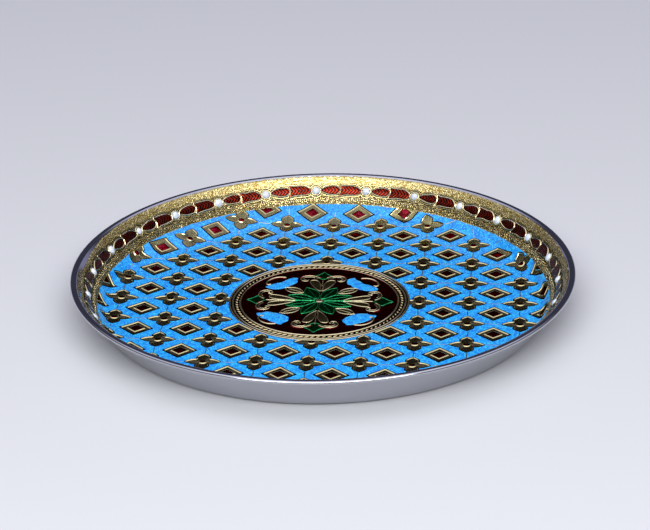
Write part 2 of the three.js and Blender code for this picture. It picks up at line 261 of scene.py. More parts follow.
def skin(body, first=None, last=None, uv=None):
    """Faces over copies of a grid of points (copies, rows, columns, 3). Columns close on themselves.
    Rows end in fans to the points first and last, or close on themselves where these aren't given.
    Returns corners, faces padded with -1, and the face corners' UV."""
    copies, rows, columns = body.shape[:3]
    loop = first is None
    grid = np.arange(rows * columns).reshape(rows, columns)
    grid = np.concatenate([grid, grid[:, :1]], 1)
    if loop:
        grid = np.concatenate([grid, grid[:1]], 0)
    if uv is None:
        uv = np.zeros((1, grid.shape[0], columns + 1, 2))
    uv = np.broadcast_to(uv, (copies,) + uv.shape[1:])
    r, c = np.mgrid[0:grid.shape[0] - 1, 0:columns]
    walk = [(r, c), (r + 1, c), (r + 1, c + 1), (r, c + 1)]
    faces = np.stack([grid[at].ravel() for at in walk], -1)
    face_uv = np.stack([uv[:, at[0], at[1]].reshape(copies, -1, 2) for at in walk], 2)
    points = body.reshape(copies, -1, 3)
    size = rows * columns
    if not loop:
        points = np.concatenate([points, first[:, None], last[:, None]], 1)
        none = np.full(columns, -1)
        north = np.stack([np.full(columns, size), grid[0, :-1], grid[0, 1:], none], -1)
        south = np.stack([grid[-1, :-1], np.full(columns, size + 1), grid[-1, 1:], none], -1)
        faces = np.concatenate([faces, north, south])
        size += 2
        fans = []
        for row, walk in ((0, (None, 0, 1)), (grid.shape[0] - 1, (0, None, 1))):
            low, high = uv[:, row, :-1], uv[:, row, 1:]
            middle = (low + high) / 2
            fans.append(np.stack([{None: middle, 0: low, 1: high}[k] for k in walk] + [middle], 2))
        face_uv = np.concatenate([face_uv] + fans, 1)
    step = np.arange(copies)[:, None, None] * size
    faces = np.where(faces[None] < 0, -1, faces[None] + step)
    return points.reshape(-1, 3), faces.reshape(-1, 4), face_uv.reshape(-1, 4, 2)


def gathered(parts):
    """Several skins as one: corners in a row, and face numbers moved on by the corners before them."""
    points, faces, uvs, before = [], [], [], 0
    for corner, face, uv in parts:
        points.append(corner)
        faces.append(np.where(face < 0, -1, face + before))
        uvs.append(uv)
        before += len(corner)
    return np.concatenate(points), np.concatenate(faces), np.concatenate(uvs)


def welded(points, faces, uv):
    """Corners within a thousandth of a millimetre made one, and faces that lose their area left out."""
    keys, index = np.unique(np.round(points * 1000).astype(np.int64), axis=0, return_inverse=True)
    index = index.ravel()
    faces = np.where(faces < 0, -1, index[faces])
    ring = np.where(faces < 0, faces[:, :1], faces)
    spread = np.sort(ring, 1)
    distinct = 1 + (np.diff(spread, axis=1) > 0).sum(1)
    return keys / 1000.0, faces[distinct > 2], uv[distinct > 2]


def without_repeats(faces, uv):
    """Faces with a corner named twice in a row made triangles."""
    quad = faces[:, 3] >= 0
    nxt = np.roll(faces, -1, axis=1)
    for corner in range(4):
        same = quad & (faces[:, corner] == nxt[:, corner])
        order = [k for k in range(4) if k != corner]
        faces[same] = np.concatenate([faces[same][:, order], np.full((same.sum(), 1), -1)], 1)
        uv[same] = np.concatenate([uv[same][:, order], uv[same][:, :1]], 1)
        quad &= ~same
    return faces, uv


def added(name, data, matrix=None):
    """A new object in the scene from its data."""
    made = bpy.data.objects.new(name, data)
    if matrix is not None:
        made.matrix_world = matrix
    bpy.context.scene.collection.objects.link(made)
    return made


def piece(name, parts, material, slot, replaces=(), sharp=40, weld=False):
    """A finished object from skins: its mesh in metres, smooth but for edges sharper than an angle. Its
    slot is not used. It stands for the solids that it replaces."""
    points, faces, uv = gathered(parts)
    if weld:
        points, faces, uv = welded(points, faces, uv)
        faces, uv = without_repeats(faces, uv)
    sides = np.where(faces[:, 3] < 0, 3, 4)
    used = np.arange(4) < sides[:, None]
    mesh = bpy.data.meshes.new(name)
    mesh.vertices.add(len(points))
    mesh.vertices.foreach_set("co", (points * MM).astype(np.float32).ravel())
    mesh.loops.add(int(sides.sum()))
    mesh.loops.foreach_set("vertex_index", faces[used].astype(np.int32))
    mesh.polygons.add(len(faces))
    starts = np.concatenate([[0], np.cumsum(sides)[:-1]])
    mesh.polygons.foreach_set("loop_start", starts.astype(np.int32))
    mesh.polygons.foreach_set("use_smooth", np.ones(len(faces), bool))
    mesh.uv_layers.new(name="flat").data.foreach_set("uv", uv[used].astype(np.float32).ravel())
    mesh.update(calc_edges=True)
    mesh.validate()
    mesh.set_sharp_from_angle(angle=np.radians(sharp))
    mesh.materials.append(material)
    made = added(name, mesh)
    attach(made, "root")
    if replaces:
        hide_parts(*replaces)


# Radius at which the map of a turned piece has its true length
MAP_RADIUS = 120


def turned_section(section, columns):
    """A section from the axis to the axis, turned about Z: rows are its points without the two on the
    axis, columns the steps of the turn."""
    angle = TURN * np.arange(columns) / columns
    body = swung(section[1:-1, None], angle)[None]
    u = np.linspace(0, TURN * MAP_RADIUS, columns + 1)
    v = np.linspace(0, 1, len(section))[1:-1, None]
    uv = np.stack(np.broadcast_arrays(u, v), -1)[None]
    ends = [np.array([[0, 0, section[k, 1]]]) for k in (0, -1)]
    return skin(body, *ends, uv=uv)


# Flat outlines


def rhomb_outline(half_width, half_height):
    """A rhomb about the origin, its sides divided evenly, anticlockwise from its right corner."""
    corners = np.array([(half_width, 0), (0, half_height), (-half_width, 0), (0, -half_height)])
    share = (np.arange(CELL_SIDE_POINTS) / CELL_SIDE_POINTS)[:, None]
    return np.concatenate([a + (b - a) * share for a, b in zip(corners, np.roll(corners, -1, 0))])


def curve(points, count, closed=True):
    """A smooth curve through points (..., n, 2), the Catmull-Rom cubic, as count points."""
    points = np.asarray(points, float)
    n = points.shape[-2]
    if closed:
        at = n * np.arange(count) / count
        low = np.floor(at).astype(int)
        pick = [(low + k) % n for k in (-1, 0, 1, 2)]
    else:
        at = (n - 1) * np.arange(count) / (count - 1)
        low = np.minimum(np.floor(at).astype(int), n - 2)
        pick = [np.clip(low + k, 0, n - 1) for k in (-1, 0, 1, 2)]
    t = (at - low)[:, None]
    a, b, c, d = (points[..., index, :] for index in pick)
    return 0.5 * (2 * b + (c - a) * t + (2 * a - 5 * b + 4 * c - d) * t ** 2
                  + (3 * b - a - 3 * c + d) * t ** 3)


def rotated(points, angle):
    """Points turned about the origin by angles that broadcast over the points."""
    c, s = np.cos(angle), np.sin(angle)
    x, y = points[..., 0], points[..., 1]
    return np.stack([c * x - s * y, s * x + c * y], -1)


def flipped(outline):
    """An outline mirrored in the x axis, drawn in the same sense."""
    return (outline * [1, -1])[..., ::-1, :]


def normals(path, closed=True):
    """Unit normals to the left of a path, from the chord between each point's neighbours."""
    if closed:
        along = np.roll(path, -1, -2) - np.roll(path, 1, -2)
    else:
        along = np.gradient(path, axis=-2)
    along = along / np.maximum(norm(along), 1e-9)[..., None]
    return np.stack([-along[..., 1], along[..., 0]], -1)


def mound(outlines, centres, levels, place):
    """Closed low mounds over outlines (copies, points, 2). Each level is (share, height, v): the
    outline drawn in towards the centre to the share, at a height, with v for the UV map. The first
    and last levels are the middles of the top and the underside."""
    u = np.cumsum(norm(np.roll(outlines, -1, 1) - outlines), 1)
    u = np.concatenate([np.zeros((len(outlines), 1)), u], 1)
    rows, uvs = [], []
    for share, height, v in levels[1:-1]:
        rows.append(place(centres[:, None] + (outlines - centres[:, None]) * share, height))
        uvs.append(np.stack([u, np.full_like(u, v)], -1))
    top, under = (place(centres, levels[k][1]) for k in (0, -1))
    return skin(np.stack(rows, 1), top, under, uv=np.stack(uvs, 1))


# Section of an embossed line: shares of its half width across and of its height up
CREST = np.array([
    (-1, 0), (-0.72, 0.4), (-0.36, 0.86), (0, 1), (0.36, 0.86), (0.72, 0.4), (1, 0), (0, -0.3),
])


def wire(paths, half, height, place, closed=False, base=0.0):
    """Embossed lines along paths (copies, points, 2): the crest's section carried along each, by the
    half width to either side. An open path's ends narrow to a point."""
    across, rise = CREST.T
    body = paths[:, :, None] + normals(paths, closed)[:, :, None] * (half * across)[:, None]
    level = base + height * rise
    steps = norm(np.diff(paths, axis=1))
    u = np.concatenate([np.zeros((len(paths), 1)), np.cumsum(steps, 1)], 1)
    v = np.append(across, across[0])
    if closed:
        u = np.concatenate([u, u[:, -1:] + steps[:, :1]], 1)
        uv = np.stack(np.broadcast_arrays(u[..., None], v), -1)
        return skin(place(body, level), uv=uv)
    ends = [place(paths[:, k], base) for k in (0, -1)]
    uv = np.stack(np.broadcast_arrays(u[:, 1:-1, None], v), -1)
    return skin(place(body[:, 1:-1], level), *ends, uv=uv)


# Materials


class Nodes:
    """A short way to add nodes to a tree and to join their sockets."""

    def __init__(self, tree):
        self.tree = tree

    def add(self, kind, inputs=(), **settings):
        """A node of a kind with its settings, and its inputs given as values or as other sockets."""
        node = self.tree.nodes.new(kind)
        for name, value in settings.items():
            setattr(node, name, value)
        for key, value in dict(inputs).items():
            self.put(node.inputs[key], value)
        return node

    def put(self, socket, value):
        """A value, or a link from another node's socket, into an input."""
        if isinstance(value, bpy.types.NodeSocket):
            self.tree.links.new(value, socket)
        else:
            socket.default_value = value

    def math(self, operation, a, b=0.0, c=0.0):
        """One step of arithmetic."""
        return self.add("ShaderNodeMath", {0: a, 1: b, 2: c}, operation=operation).outputs[0]

    def times(self, a, b):
        """The product of two values."""
        return self.math("MULTIPLY", a, b)

    def stretched(self, vector, scales):
        """A vector with each axis scaled by its own number."""
        return self.add("ShaderNodeVectorMath", {0: vector, 1: scales}, operation="MULTIPLY").outputs[0]

    def step(self, value, low, high, to_low=0.0, to_high=1.0):
        """The smooth step of a value between two limits."""
        node = self.add("ShaderNodeMapRange", {0: value, 1: low, 2: high, 3: to_low, 4: to_high},
                        interpolation_type="SMOOTHSTEP")
        return node.outputs[0]

    def mix(self, share, a, b):
        """Two colours mixed by a share."""
        return self.add("ShaderNodeMix", {0: share, 6: a, 7: b}, data_type="RGBA").outputs[2]

    def noise(self, scale, vector, detail=3.0, roughness=0.6):
        """Noise of a scale per metre."""
        inputs = {"Vector": vector, "Scale": scale, "Detail": detail, "Roughness": roughness}
        return self.add("ShaderNodeTexNoise", inputs).outputs["Fac"]

    def split(self, vector):
        """The three axes of a vector."""
        return self.add("ShaderNodeSeparateXYZ", {0: vector}).outputs


class Look(Nodes):
    """A new material and its shader."""

    def __init__(self, name):
        self.material = bpy.data.materials.new(name)
        self.material.use_nodes = True
        super().__init__(self.material.node_tree)
        self.shader = self.tree.nodes["Principled BSDF"]

    def place(self):
        """The piece's own coordinates, in metres."""
        return self.add("ShaderNodeTexCoord").outputs["Object"]

    def flat(self):
        """The along and across coordinates of the piece's own UV map, in millimetres."""
        along, across, _ = self.split(self.add("ShaderNodeUVMap", uv_map="flat").outputs[0])
        return along, across

    def grouped(self, tree, **inputs):
        """The outputs of a group for its inputs."""
        return self.add("ShaderNodeGroup", inputs, node_tree=tree).outputs

    def dress(self, **values):
        """Plain values or other nodes' sockets on the shader's own sockets."""
        for name, value in values.items():
            self.put(self.shader.inputs[name.replace("_", " ")], value)
        return self.material

    def finish(self, colour, roughness, height, depth, **values):
        """The material with its colour and roughness, a bump of a height map over a depth in
        millimetres, and other values."""
        bump = self.add("ShaderNodeBump", {"Height": height, "Distance": depth * MM, "Strength": 1.0})
        return self.dress(Base_Color=colour, Roughness=roughness, Normal=bump.outputs[0], **values)


def group(name, inputs, outputs):
    """An empty shader group with named float sockets, and a vector socket where the name is Vector.
    Returns it with its nodes and the sockets inside it that give its inputs and take its outputs."""
    tree = bpy.data.node_groups.new(name, "ShaderNodeTree")
    for names, side in ((inputs, "INPUT"), (outputs, "OUTPUT")):
        for socket in names:
            kind = "NodeSocketVector" if socket == "Vector" else "NodeSocketFloat"
            tree.interface.new_socket(socket, in_out=side, socket_type=kind)
    nodes = Nodes(tree)
    return tree, nodes, nodes.add("NodeGroupInput").outputs, nodes.add("NodeGroupOutput").inputs


def speckle_group():
    """Fine glitter: small cells of which a few are bright, and a soft drift between them."""
    tree, nodes, given, out = group("speckle", ["Vector", "Grain"], ["Spark", "Drift", "Relief"])
    vector, grain = given[0], given[1]
    cell = nodes.add("ShaderNodeTexVoronoi", {"Vector": vector, "Scale": grain})
    value = nodes.add("ShaderNodeSeparateColor", {0: cell.outputs["Color"]}).outputs[0]
    drift = nodes.noise(nodes.times(grain, 0.22), vector, 4.0, 0.65)
    nodes.put(out[0], nodes.step(value, 0.72, 0.98))
    nodes.put(out[1], drift)
    nodes.put(out[2], nodes.math("MULTIPLY_ADD", value, 0.5, drift))
    return tree


def beaten_group():
    """Beaten foil: uneven small dents, with dark left in the low places and streaks round the plate."""
    tree, nodes, given, out = group("beaten", ["Vector", "Grain"], ["Relief", "Dark", "Streak"])
    vector, grain = given[0], given[1]
    dents = nodes.add("ShaderNodeTexVoronoi", {"Vector": vector, "Scale": grain}, feature="SMOOTH_F1")
    fine = nodes.noise(nodes.times(grain, 1.7), vector)
    pits = nodes.noise(nodes.times(grain, 0.8), vector, 5.0, 0.75)
    streak = nodes.noise(nodes.times(grain, 0.9), nodes.stretched(vector, (0.4, 0.4, 1.3)), 4.0, 0.7)
    nodes.put(out[0], nodes.math("MULTIPLY_ADD", dents.outputs["Distance"], -0.8, fine))
    nodes.put(out[1], nodes.step(pits, 0.56, 0.72))
    nodes.put(out[2], streak)
    return tree


def hatch_group():
    """Hatched foil: lines a pitch apart, the sine of (along + slant times across) over the pitch."""
    tree, nodes, given, out = group("hatch", ["Along", "Across", "Pitch", "Slant"], ["Line"])
    slanted = nodes.math("MULTIPLY_ADD", given[1], given[3], given[0])
    turns = nodes.math("DIVIDE", slanted, given[2])
    wave = nodes.math("SINE", nodes.times(turns, TURN))
    nodes.put(out[0], nodes.step(wave, -0.5, 0.7))
    return tree


speckle, beaten, hatch = speckle_group(), beaten_group(), hatch_group()


def rgb(red, green, blue):
    """A colour with full alpha."""
    return (red, green, blue, 1.0)


PALE_GOLD = rgb(0.89, 0.78, 0.46)
DEEP_GOLD = rgb(0.62, 0.45, 0.18)
# Near black: the dark in pits, hatch grooves and pebble gaps of the foil, and also painted shade at the
# feet of raised lines and round and inside the cells
PITS_AND_SHADE = rgb(0.010, 0.007, 0.004)
DULL_EDGE = rgb(0.12, 0.11, 0.10)


def steel_material():
    """Mirror-polished stainless: a faint haze that varies, and hairlines left by the buffing."""
    look = Look("polished_steel")
    place = look.place()
    haze = look.step(look.noise(45.0, place, 4.0), 0.3, 0.75, 0.07, 0.15)
    hair = look.noise(5200.0, look.stretched(place, (0.05, 0.05, 1.0)), 2.0)
    return look.finish(rgb(0.50, 0.51, 0.56), haze, hair, 0.0025, Metallic=1.0)


def enamel_material(name, deep, light, spark_colour, spark_share, grain=2600.0, coat=0.6, metal=0.0,
                    rough=0.32):
    """Flooded enamel: a colour that drifts between deep and light with fine glitter under a clear
    glossy top. Translucent enamel shows the foil below it, and shines as metal."""
    look = Look(name)
    spark, drift, relief = look.grouped(speckle, Vector=look.place(), Grain=grain)
    drifted = look.mix(look.step(drift, 0.35, 0.68), deep, light)
    colour = look.mix(look.times(spark, spark_share), drifted, spark_colour)
    if metal:
        look.dress(Specular_Tint=DULL_EDGE)
    return look.finish(colour, rough, relief, 0.02, Metallic=metal, Coat_Weight=coat, Coat_Roughness=0.06)


def cell_material():
    """Gold cells of the lattice. Across is the zone of the cell: painted shade at the edge to 0.42, bright
    wall to 0.9, hatched field to 2.2, bright outer wall of the inner rim to 2.6, and painted shade from
    there inwards."""
    look = Look("gold_cells")
    along, across = look.flat()
    relief, dark, _ = look.grouped(beaten, Vector=look.place(), Grain=1500.0)
    lines = look.grouped(hatch, Along=along, Across=across, Pitch=0.95, Slant=0.0)[0]
    field = look.mix(lines, rgb(0.016, 0.013, 0.007), rgb(0.60, 0.53, 0.26))
    field = look.mix(look.times(dark, 0.7), field, PITS_AND_SHADE)
    in_field = look.times(look.step(across, 0.86, 0.96), look.step(across, 2.24, 2.16))
    # Masks of the painted shade inside the inner rim and at the cell's edge
    middle = look.step(across, 2.58, 2.72)
    edge = look.step(across, 0.46, 0.36)
    colour = look.mix(look.times(dark, 0.85), rgb(0.88, 0.77, 0.41), rgb(0.26, 0.20, 0.07))
    colour = look.mix(in_field, colour, field)
    # Painted shade: near black inside the inner rim and at the edge where the cell meets the enamel
    colour = look.mix(look.math("MAXIMUM", middle, edge), colour, PITS_AND_SHADE)
    height = look.math("MULTIPLY_ADD", look.times(lines, in_field), 0.9, relief)
    return look.finish(colour, 0.16, height, 0.022, Metallic=1.0, Specular_Tint=DULL_EDGE)


def wire_material(name, bright, shade_from):
    """Embossed gold lines: bright on the crest, with painted shade where the line meets the sheet."""
    look = Look(name)
    _, across = look.flat()
    relief, dark, _ = look.grouped(beaten, Vector=look.place(), Grain=1800.0)
    # Painted shade: the gold turns near black from this share of the half width out to the line's foot
    foot_shade = look.step(look.math("ABSOLUTE", across), shade_from, shade_from + 0.25)
    colour = look.mix(foot_shade, look.mix(look.times(dark, 0.5), bright, DEEP_GOLD), PITS_AND_SHADE)
    roughness = look.step(dark, 0.0, 1.0, 0.18, 0.32)
    return look.finish(colour, roughness, relief, 0.015, Metallic=1.0, Specular_Tint=DULL_EDGE)


def leaf_foil_material():
    """Hatched gold leaves: fine slanted lines, deep gold with dark between."""
    look = Look("gold_leaves")
    place = look.place()
    relief, dark, _ = look.grouped(beaten, Vector=place, Grain=1700.0)
    x, y, _ = look.split(place)
    lines = look.grouped(hatch, Along=x, Across=y, Pitch=0.9 * MM, Slant=0.6)[0]
    colour = look.mix(look.times(dark, 0.6), look.mix(lines, PITS_AND_SHADE, rgb(0.24, 0.20, 0.09)), PITS_AND_SHADE)
    height = look.math("MULTIPLY_ADD", lines, 0.7, relief)
    return look.finish(colour, 0.3, height, 0.04, Metallic=1.0, Specular_Tint=DULL_EDGE)


def band_material():
    """Gold of the wall band: yellow beaten foil with fine dark pits, told apart by height: smoother
    above the garland, pebbled below it."""
    look = Look("gold_band")
    place = look.place()
    relief, dark, streak = look.grouped(beaten, Vector=place, Grain=1200.0)
    level = look.math("DIVIDE", look.split(place)[2], MM)
    pebbles = look.add("ShaderNodeTexVoronoi", {"Vector": place, "Scale": 850.0},
                       feature="DISTANCE_TO_EDGE")
    rims = look.step(pebbles.outputs["Distance"], 0.06, 0.26)
    low = look.times(look.step(level, 10.9, 10.0), look.step(level, 6.2, 7.0))
    near = look.times(look.step(level, 16.2, 15.2), look.step(level, 9.5, 10.5))
    pebbled = look.times(look.math("MAXIMUM", low, look.times(near, 0.75)), 0.82)
    pebbled = look.math("MAXIMUM", pebbled, 0.25)
    gaps = look.times(look.math("SUBTRACT", 1.0, rims), pebbled)
    colour = look.mix(look.step(streak, 0.42, 0.56), rgb(0.52, 0.37, 0.09), rgb(1.0, 0.84, 0.40))
    colour = look.mix(gaps, look.mix(look.times(dark, 0.9), colour, PITS_AND_SHADE), PITS_AND_SHADE)
    roughness = look.step(streak, 0.35, 0.7, 0.28, 0.18)
    height = look.math("MULTIPLY_ADD", look.times(rims, pebbled), 1.8, relief)
    return look.finish(colour, roughness, height, 0.17, Metallic=1.0)


def garland_material():
    """Translucent red over hatched foil: near-black red with bright chevrons. Along runs down the leaf
    and across is the distance from its midrib."""
    look = Look("red_over_hatching")
    along, across = look.flat()
    from_rib = look.math("ABSOLUTE", across)
    lines = look.grouped(hatch, Along=along, Across=from_rib, Pitch=1.75, Slant=0.9)[0]
    _, drift, relief = look.grouped(speckle, Vector=look.place(), Grain=2000.0)
    shown = look.times(lines, look.step(drift, 0.35, 0.6, 0.35, 1.0))
    colour = look.mix(shown, rgb(0.003, 0.0006, 0.0006), rgb(0.27, 0.020, 0.006))
    height = look.math("MULTIPLY_ADD", lines, 0.6, relief)
    return look.finish(colour, 0.26, height, 0.04, Metallic=0.96, Coat_Weight=0.05, Coat_Roughness=0.05)


blue = enamel_material("blue_enamel", rgb(0.003, 0.19, 0.74), rgb(0.008, 0.40, 0.94),
                       rgb(0.10, 0.82, 1.0), 0.75, grain=2000.0, coat=0.3)
maroon = enamel_material("maroon_enamel", rgb(0.05, 0.003, 0.005), rgb(0.15, 0.006, 0.010),
                         rgb(0.60, 0.03, 0.04), 0.25, coat=0.0, metal=1.0, rough=0.2)
green = enamel_material("green_enamel", rgb(0.001, 0.035, 0.010), rgb(0.003, 0.11, 0.030),
                        rgb(0.03, 0.50, 0.15), 0.2, coat=0.0, metal=0.97, rough=0.22)
red = enamel_material("red_enamel", rgb(0.07, 0.004, 0.006), rgb(0.34, 0.013, 0.028),
                      rgb(0.85, 0.10, 0.12), 0.3, grain=1600.0, coat=0.0, metal=1.0, rough=0.14)
bright_green = enamel_material("green_veins", rgb(0.012, 0.28, 0.08), rgb(0.035, 0.52, 0.18),
                               rgb(0.15, 0.90, 0.35), 0.3, coat=0.0, metal=0.9, rough=0.2)
white = enamel_material("white_enamel", rgb(0.62, 0.70, 0.86), rgb(0.84, 0.89, 0.97),
                        rgb(1.0, 1.0, 1.0), 0.3, grain=1500.0, coat=0.8)
steel = steel_material()
gold_cells = cell_material()
# The last number is where the painted shade on each line's flank begins, as a share of its half width
gold_lines = wire_material("gold_lines", PALE_GOLD, 0.72)
gold_dull = wire_material("gold_dull", rgb(0.80, 0.63, 0.32), 0.35)
gold_scallops = wire_material("gold_scallops", rgb(1.0, 0.84, 0.38), 0.12)
gold_leaves = leaf_foil_material()
gold_band = band_material()
red_leaves = garland_material()


# Floor


def lattice():
    """Centres of the cells in the pattern's frame, with a mask of the flowers: flowers on whole steps
    of the lattice and diamonds half way between."""
    reach = 10
    i, j = np.mgrid[-reach:reach + 1, -reach:reach + 1]
    home = np.stack([i * LATTICE_X / 2, j * LATTICE_Y / 2], -1)
    used = (i + j) % 2 == 0
    return home[used], (i % 2 == 0)[used]


def flower_outline():
    """A flower about the origin, anticlockwise: a quarter mirrored to a half, and that turned round."""
    quarter = np.array([
        (8.8, 0), (8.0, 0.9), (6.9, 1.75), (5.7, 2.4), (4.6, 2.8), (3.6, 2.85),
        (3.15, 3.2), (3.4, 4.0), (3.45, 4.9), (3.0, 5.9), (2.1, 7.0), (0.9, 7.9), (0, 8.6),
    ])
    back = (quarter * [-1, 1])[::-1]
    upper = np.concatenate([quarter[:-1], back[:-1]])
    return np.concatenate([upper, -upper])


def scattered(outline, homes):
    """Copies of an outline at homes, each a little off in place, turn and size, and their centres."""
    count = len(homes)
    size = 1 + random.normal(0, 0.012, (count, 1, 2))
    centres = homes + random.normal(0, 0.12, (count, 2))
    return rotated(outline * size, random.normal(0, 0.012, (count, 1))) + centres[:, None], centres


def on_clear_floor(pattern, height):
    """Points on the floor sheet kept clear of medallion and edge, sunk to the foil where they moved."""
    flat, moved = kept_out(in_plate(pattern))
    height = np.broadcast_to(height, pattern.shape[:-1])
    return drape(flat, np.where(moved, np.minimum(height, 0.0), height))


# Rows of a diamond from its middle over its rims and down as (share of the outline, height, zone)
# The zones in these tables place the gold cells' painted shade at the edge and inside the inner rim
DIAMOND_LEVELS = [
    (0, 0.12, 5.0), (0.40, 0.12, 3.3), (0.425, 0.29, 3.0), (0.45, 0.36, 2.8), (0.48, 0.40, 2.58),
    (0.545, 0.12, 2.2), (0.68, 0.08, 1.7), (0.825, 0.12, 0.92), (0.89, 0.46, 0.6), (0.91, 0.49, 0.46),
    (0.93, 0.47, 0.3), (0.97, 0.40, 0.15), (1.01, 0.36, 0.1), (1.045, 0.35, 0.0), (1.045, 0.1, 0.0),
    (1.0, 0.0, 0.0), (0.8, -0.04, 0), (0.6, -0.06, 0), (0.4, -0.06, 0), (0.2, -0.06, 0), (0, -0.06, 0),
]
# A flower's round boss as (radius, height, zone) and its petals' walls as (inset, height, zone)
FLOWER_BOSS = [(1.25, 0.12, 3.3), (1.35, 0.30, 3.0), (1.5, 0.42, 2.8), (1.7, 0.43, 2.58), (2.1, 0.10, 2.2)]
FLOWER_WALLS = [
    (0.66, 0.10, 0.92), (0.40, 0.38, 0.6), (0.31, 0.41, 0.46), (0.22, 0.40, 0.3), (0.10, 0.38, 0.15),
    (-0.03, 0.36, 0.1), (-0.26, 0.35, 0.0), (-0.26, 0.1, 0.0), (0.0, 0.0, 0.0),
]
# The red middles as levels of a mound
DIAMOND_MIDDLE = [(0, 0.28, 0), (0.2, 0.27, 0), (0.36, 0.24, 0), (0.40, 0.20, 0), (0.40, 0.13, 0),
                  (0, 0.13, 0)]
FLOWER_MIDDLE = [(0, 0.31, 0), (0.6, 0.29, 0), (1, 0.22, 0), (1, 0.13, 0), (0, 0.13, 0)]
FLOWER_MIDDLE_RADIUS = 1.36


def flower_skin(outlines, centres):
    """Flowers as mounds whose rows run from a round boss out to the petals' walls and back beneath."""
    inward = normals(outlines)
    reach = outlines - centres[:, None]
    spoke = reach / norm(reach)[..., None]
    sides = norm(np.diff(reach[0], axis=0, append=reach[0][:1]))
    u = np.concatenate([np.zeros(1), np.cumsum(sides)])
    made = [(spoke * radius, height, v) for radius, height, v in FLOWER_BOSS]
    between = 0.5 * spoke * FLOWER_BOSS[-1][0] + 0.5 * (reach + FLOWER_WALLS[0][0] * inward)
    made.append((between, 0.13, 1.5))
    made += [(reach + inset * inward, height, v) for inset, height, v in FLOWER_WALLS]
    made += [(reach * share, -0.06, 0.0) for share in (0.8, 0.6, 0.4, 0.2)]
    rows = [on_clear_floor(centres[:, None] + row, height) for row, height, _ in made]
    uvs = [np.stack([u, np.full_like(u, v)], -1) for _, _, v in made]
    ends = [on_clear_floor(centres, height) for height in (0.14, -0.06)]
    return skin(np.stack(rows, 1), *ends, uv=np.stack(uvs, 0)[None])


def ground_rows(homes, outlines, rhomb):
    """Rows of the blue enamel round each cell as (points, height): its top, from the foot of the
    window's wall out to the rhomb that holds the cell, and its underside back."""
    edge = homes[:, None] + rhomb
    outward = -normals(outlines)
    foot = (outlines + 0.1 * outward, 0.0)
    top = [foot]
    for out, rise in ((0.1, 0.02), (0.35, 0.04), (0.8, 0.0)):
        top.append((outlines + out * outward, BLUE_TOP + rise))
    top += [(0.5 * outlines + 0.5 * edge, BLUE_TOP), (edge, BLUE_TOP)]
    return top, [(edge, 0.0), foot]


def clear_ground(rows):
    """Quads between neighbouring rows of pattern points on the clear floor, without those that lie
    wholly outside it. A row is (points, height), and its columns close on themselves."""
    heights = np.array([height for _, height in rows])[None, :, None]
    flat, moved = kept_out(in_plate(np.stack([points for points, _ in rows], 1)))
    body = drape(flat, np.where(moved, 0.0, heights))
    number = np.arange(moved.size).reshape(moved.shape)
    nxt = np.roll(number, -1, 2)
    faces = np.stack([number[:, :-1], number[:, 1:], nxt[:, 1:], nxt[:, :-1]], -1).reshape(-1, 4)
    faces = faces[~moved.reshape(-1)[faces].all(1)]
    return body.reshape(-1, 3), faces, np.zeros((len(faces), 4, 2))


def foil_disc():
    """Floor foil as a closed sheet: its top along the sheet's section, its underside a foil lower."""
    radius = np.concatenate([np.linspace(4, 90, 12), np.linspace(92, SHEET_EDGE - EDGE_MARGIN, 22)])
    flat = radius[:, None, None] * circle(480)
    sunk = np.broadcast_to(-0.14 * smooth(88, 98, radius)[:, None], flat.shape[:-1])
    under = 0.02 - FOIL
    body = np.concatenate([drape(flat, sunk), drape(flat[::-1], np.full(flat.shape[:-1], under))])[None]
    return skin(body, *[drape(np.zeros((1, 2)), np.full(1, height)) for height in (0.0, under)])


def link_paths(centres):
    """Paths of the thin lines from each flower to the next, up and to the right: straight with a sway
    of a half and a whole sine wave, where they stay on the clear floor."""
    made = []
    share = np.linspace(0, 1, 9)[:, None]
    x, y = LINK_START
    for start, end in (((0, y), (0, LATTICE_Y - y)), ((x, 0), (LATTICE_X - x, 0))):
        run = np.array(start) * (1 - share) + np.array(end) * share
        sway = random.normal(0, 0.22, (len(centres), 1, 2)) * np.sin(np.pi * share)
        sway = sway + random.normal(0, 0.1, (len(centres), 1, 2)) * np.sin(TURN * share)
        paths = centres[:, None] + run + sway
        flat = in_plate(paths)
        clear = (norm(flat - PATTERN_SHIFT).min(1) > LINK_FROM_RING) & (norm(flat).max(1) < SHEET_EDGE)
        made.append(paths[clear])
    return np.concatenate(made)


